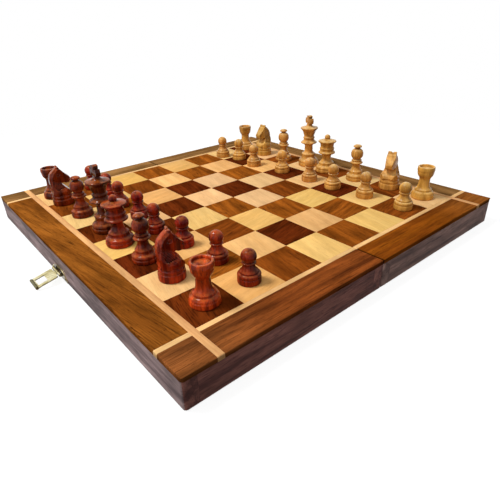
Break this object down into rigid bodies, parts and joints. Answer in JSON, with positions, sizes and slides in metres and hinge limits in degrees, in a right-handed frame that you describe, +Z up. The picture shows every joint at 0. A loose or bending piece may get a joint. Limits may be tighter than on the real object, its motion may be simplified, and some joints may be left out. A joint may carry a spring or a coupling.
{
  "type": "folding chess box",
  "caption": "Inlaid wooden chess box, opened flat as a board with its men set up; two hinged trays close face to face and latch with a brass hasp.",
  "frame": {"origin": "middle of the fold, in the plane of the two rims, which is the table when the box lies open", "axes": "+X across the fold towards the half with the catch, +Y along the fold away from the near edge, +Z up out of the playing surface"},
  "size_m": [0.3257, 0.305, 0.0718],
  "materials": {
    "wall_wood": "satin varnished sheesham, plain sawn",
    "rail_wood": "satin varnished sheesham with dark streaks",
    "dark_square_wood": "satin varnished dark sheesham",
    "pale_square_wood": "satin varnished pale hardwood",
    "strip_wood": "satin varnished pale hardwood",
    "ply": "bare plywood",
    "felt": "short felt",
    "brass": "polished sheet brass",
    "dark_man_wood": "turned and waxed sheesham",
    "light_man_wood": "turned and waxed boxwood"
  },
  "bodies": {
    "left_half": {"left_panel": "ply", "left_outer_wall": "wall_wood", "left_hinge_wall": "wall_wood", "left_end_walls": "wall_wood", "left_dark_squares": "dark_square_wood", "left_light_squares": "pale_square_wood", "left_border_rails": "rail_wood", "left_inlay_strips": "strip_wood", "left_lining": "felt", "left_hinge_leaves": "brass", "left_nails": "brass", "hinge_pins": "brass", "latch_plate": "brass", "hasp_pin": "brass"},
    "right_half": {"right_panel": "ply", "right_outer_wall": "wall_wood", "right_hinge_wall": "wall_wood", "right_end_walls": "wall_wood", "right_dark_squares": "dark_square_wood", "right_light_squares": "pale_square_wood", "right_border_rails": "rail_wood", "right_inlay_strips": "strip_wood", "right_lining": "felt", "right_hinge_leaves": "brass", "right_nails": "brass", "catch_plate": "brass"},
    "hasp": {"hasp": "brass"},
    "dark_rook_near": {"dark_rook_near": "dark_man_wood"},
    "dark_knight_near": {"dark_knight_near": "dark_man_wood"},
    "dark_bishop_near": {"dark_bishop_near": "dark_man_wood"},
    "dark_queen": {"dark_queen": "dark_man_wood"},
    "dark_king": {"dark_king": "dark_man_wood"},
    "dark_bishop_far": {"dark_bishop_far": "dark_man_wood"},
    "dark_knight_far": {"dark_knight_far": "dark_man_wood"},
    "dark_rook_far": {"dark_rook_far": "dark_man_wood"},
    "dark_pawn_1": {"dark_pawn_1": "dark_man_wood"},
    "dark_pawn_2": {"dark_pawn_2": "dark_man_wood"},
    "dark_pawn_3": {"dark_pawn_3": "dark_man_wood"},
    "dark_pawn_4": {"dark_pawn_4": "dark_man_wood"},
    "dark_pawn_5": {"dark_pawn_5": "dark_man_wood"},
    "dark_pawn_6": {"dark_pawn_6": "dark_man_wood"},
    "dark_pawn_7": {"dark_pawn_7": "dark_man_wood"},
    "dark_pawn_8": {"dark_pawn_8": "dark_man_wood"},
    "light_rook_near": {"light_rook_near": "light_man_wood"},
    "light_knight_near": {"light_knight_near": "light_man_wood"},
    "light_bishop_near": {"light_bishop_near": "light_man_wood"},
    "light_queen": {"light_queen": "light_man_wood"},
    "light_king": {"light_king": "light_man_wood"},
    "light_bishop_far": {"light_bishop_far": "light_man_wood"},
    "light_knight_far": {"light_knight_far": "light_man_wood"},
    "light_rook_far": {"light_rook_far": "light_man_wood"},
    "light_pawn_1": {"light_pawn_1": "light_man_wood"},
    "light_pawn_2": {"light_pawn_2": "light_man_wood"},
    "light_pawn_3": {"light_pawn_3": "light_man_wood"},
    "light_pawn_4": {"light_pawn_4": "light_man_wood"},
    "light_pawn_5": {"light_pawn_5": "light_man_wood"},
    "light_pawn_6": {"light_pawn_6": "light_man_wood"},
    "light_pawn_7": {"light_pawn_7": "light_man_wood"},
    "light_pawn_8": {"light_pawn_8": "light_man_wood"}
  },
  "joints": [
    {"name": "board_fold", "type": "hinge", "parent": "left_half", "child": "right_half", "pos_m": [0, 0, -0.0001], "axis": [0, 1, 0], "range_deg": [0, 180]},
    {"name": "clasp_swing", "type": "hinge", "parent": "left_half", "child": "hasp", "pos_m": [-0.1534, 0.008, 0.005], "axis": [0, -1, 0], "range_deg": [-100, 77]},
    {"name": "lift_dark_rook_near", "type": "slide", "parent": "left_half", "child": "dark_rook_near", "axis": [0, 0, 1], "range_m": [0, 0.06]},
    {"name": "lift_dark_knight_near", "type": "slide", "parent": "left_half", "child": "dark_knight_near", "axis": [0, 0, 1], "range_m": [0, 0.06]},
    {"name": "lift_dark_bishop_near", "type": "slide", "parent": "left_half", "child": "dark_bishop_near", "axis": [0, 0, 1], "range_m": [0, 0.06]},
    {"name": "lift_dark_queen", "type": "slide", "parent": "left_half", "child": "dark_queen", "axis": [0, 0, 1], "range_m": [0, 0.06]},
    {"name": "lift_dark_king", "type": "slide", "parent": "left_half", "child": "dark_king", "axis": [0, 0, 1], "range_m": [0, 0.06]},
    {"name": "lift_dark_bishop_far", "type": "slide", "parent": "left_half", "child": "dark_bishop_far", "axis": [0, 0, 1], "range_m": [0, 0.06]},
    {"name": "lift_dark_knight_far", "type": "slide", "parent": "left_half", "child": "dark_knight_far", "axis": [0, 0, 1], "range_m": [0, 0.06]},
    {"name": "lift_dark_rook_far", "type": "slide", "parent": "left_half", "child": "dark_rook_far", "axis": [0, 0, 1], "range_m": [0, 0.06]},
    {"name": "lift_dark_pawn_1", "type": "slide", "parent": "left_half", "child": "dark_pawn_1", "axis": [0, 0, 1], "range_m": [0, 0.06]},
    {"name": "lift_dark_pawn_2", "type": "slide", "parent": "left_half", "child": "dark_pawn_2", "axis": [0, 0, 1], "range_m": [0, 0.06]},
    {"name": "lift_dark_pawn_3", "type": "slide", "parent": "left_half", "child": "dark_pawn_3", "axis": [0, 0, 1], "range_m": [0, 0.06]},
    {"name": "lift_dark_pawn_4", "type": "slide", "parent": "left_half", "child": "dark_pawn_4", "axis": [0, 0, 1], "range_m": [0, 0.06]},
    {"name": "lift_dark_pawn_5", "type": "slide", "parent": "left_half", "child": "dark_pawn_5", "axis": [0, 0, 1], "range_m": [0, 0.06]},
    {"name": "lift_dark_pawn_6", "type": "slide", "parent": "left_half", "child": "dark_pawn_6", "axis": [0, 0, 1], "range_m": [0, 0.06]},
    {"name": "lift_dark_pawn_7", "type": "slide", "parent": "left_half", "child": "dark_pawn_7", "axis": [0, 0, 1], "range_m": [0, 0.06]},
    {"name": "lift_dark_pawn_8", "type": "slide", "parent": "left_half", "child": "dark_pawn_8", "axis": [0, 0, 1], "range_m": [0, 0.06]},
    {"name": "lift_light_rook_near", "type": "slide", "parent": "right_half", "child": "light_rook_near", "axis": [0, 0, 1], "range_m": [0, 0.06]},
    {"name": "lift_light_knight_near", "type": "slide", "parent": "right_half", "child": "light_knight_near", "axis": [0, 0, 1], "range_m": [0, 0.06]},
    {"name": "lift_light_bishop_near", "type": "slide", "parent": "right_half", "child": "light_bishop_near", "axis": [0, 0, 1], "range_m": [0, 0.06]},
    {"name": "lift_light_queen", "type": "slide", "parent": "right_half", "child": "light_queen", "axis": [0, 0, 1], "range_m": [0, 0.06]},
    {"name": "lift_light_king", "type": "slide", "parent": "right_half", "child": "light_king", "axis": [0, 0, 1], "range_m": [0, 0.06]},
    {"name": "lift_light_bishop_far", "type": "slide", "parent": "right_half", "child": "light_bishop_far", "axis": [0, 0, 1], "range_m": [0, 0.06]},
    {"name": "lift_light_knight_far", "type": "slide", "parent": "right_half", "child": "light_knight_far", "axis": [0, 0, 1], "range_m": [0, 0.06]},
    {"name": "lift_light_rook_far", "type": "slide", "parent": "right_half", "child": "light_rook_far", "axis": [0, 0, 1], "range_m": [0, 0.06]},
    {"name": "lift_light_pawn_1", "type": "slide", "parent": "right_half", "child": "light_pawn_1", "axis": [0, 0, 1], "range_m": [0, 0.06]},
    {"name": "lift_light_pawn_2", "type": "slide", "parent": "right_half", "child": "light_pawn_2", "axis": [0, 0, 1], "range_m": [0, 0.06]},
    {"name": "lift_light_pawn_3", "type": "slide", "parent": "right_half", "child": "light_pawn_3", "axis": [0, 0, 1], "range_m": [0, 0.06]},
    {"name": "lift_light_pawn_4", "type": "slide", "parent": "right_half", "child": "light_pawn_4", "axis": [0, 0, 1], "range_m": [0, 0.06]},
    {"name": "lift_light_pawn_5", "type": "slide", "parent": "right_half", "child": "light_pawn_5", "axis": [0, 0, 1], "range_m": [0, 0.06]},
    {"name": "lift_light_pawn_6", "type": "slide", "parent": "right_half", "child": "light_pawn_6", "axis": [0, 0, 1], "range_m": [0, 0.06]},
    {"name": "lift_light_pawn_7", "type": "slide", "parent": "right_half", "child": "light_pawn_7", "axis": [0, 0, 1], "range_m": [0, 0.06]},
    {"name": "lift_light_pawn_8", "type": "slide", "parent": "right_half", "child": "light_pawn_8", "axis": [0, 0, 1], "range_m": [0, 0.06]}
  ]
}
